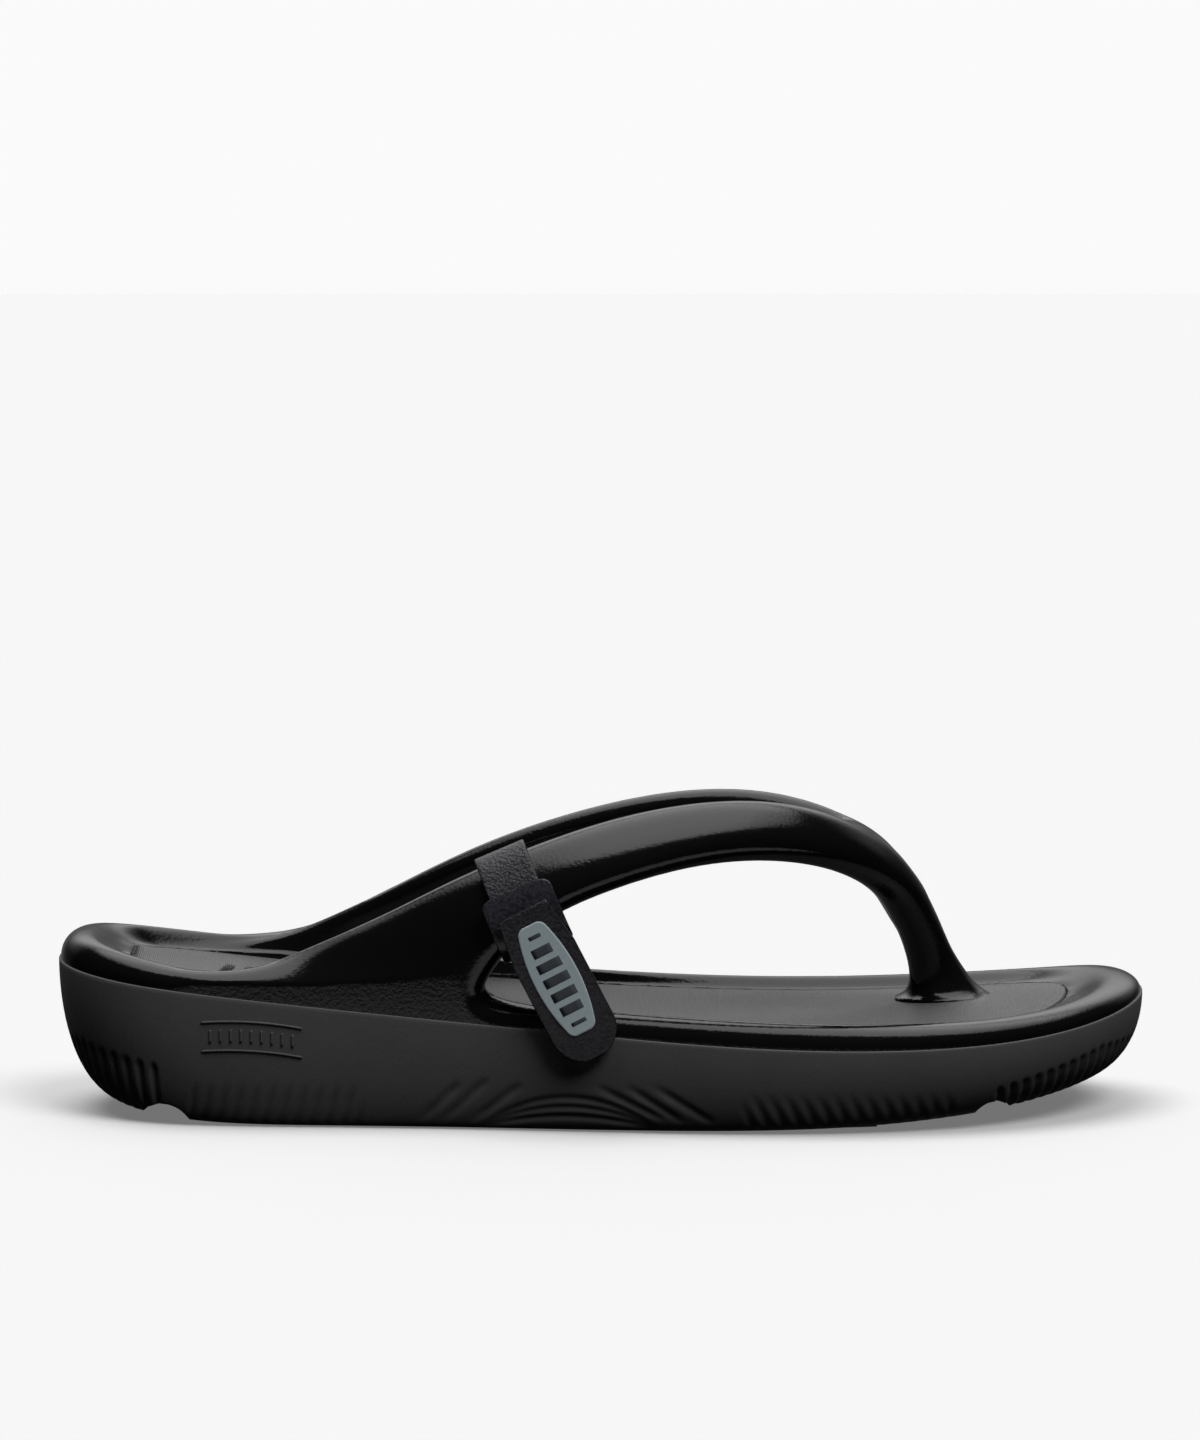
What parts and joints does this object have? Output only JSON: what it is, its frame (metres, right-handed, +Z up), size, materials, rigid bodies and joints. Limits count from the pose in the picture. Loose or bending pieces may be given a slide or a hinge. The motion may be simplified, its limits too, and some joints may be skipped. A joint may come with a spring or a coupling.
{
  "type": "flip flop",
  "caption": "Moulded foam flip flop for a right foot with a glossy one-piece Y strap and rim, textured footbed and a leather-look tag looped round the strap.",
  "frame": {"origin": "on the ground, under the middle of the sole's length and width", "axes": "+X to the toe, +Y to the inner (big toe) side, +Z up"},
  "size_m": [0.2797, 0.104, 0.0816],
  "materials": {
    "sole_foam": "matte moulded foam with a fine grain",
    "gloss_moulding": "glossy soft moulding",
    "bed_texture": "satin with a fine diamond knurl",
    "tread_rubber": "matte rubber",
    "plug": "satin rubber",
    "tag_leather": "pebbled leather look, dark grey",
    "patch_print": "grey print on the same grain"
  },
  "bodies": {
    "shoe": {"midsole": "sole_foam", "upper": "gloss_moulding", "footbed": "bed_texture", "outsole_heel": "tread_rubber", "outsole_forefoot": "tread_rubber", "toe_post_plug": "plug"},
    "tag_loop": {"tag_loop": "tag_leather"},
    "tag_tongue": {"tag_tongue": "tag_leather", "tag_patch": "patch_print"}
  },
  "joints": [
    {"name": "tag_slide", "type": "slide", "parent": "shoe", "child": "tag_loop", "axis": [0.9202, 0.024, 0.3907], "range_m": [-0.0015, 0.003]},
    {"name": "tag_swing", "type": "hinge", "parent": "tag_loop", "child": "tag_tongue", "pos_m": [-0.01947, -0.04801, 0.05681], "axis": [-0.8858, 0.0464, -0.4617], "range_deg": [-1, 120]}
  ]
}
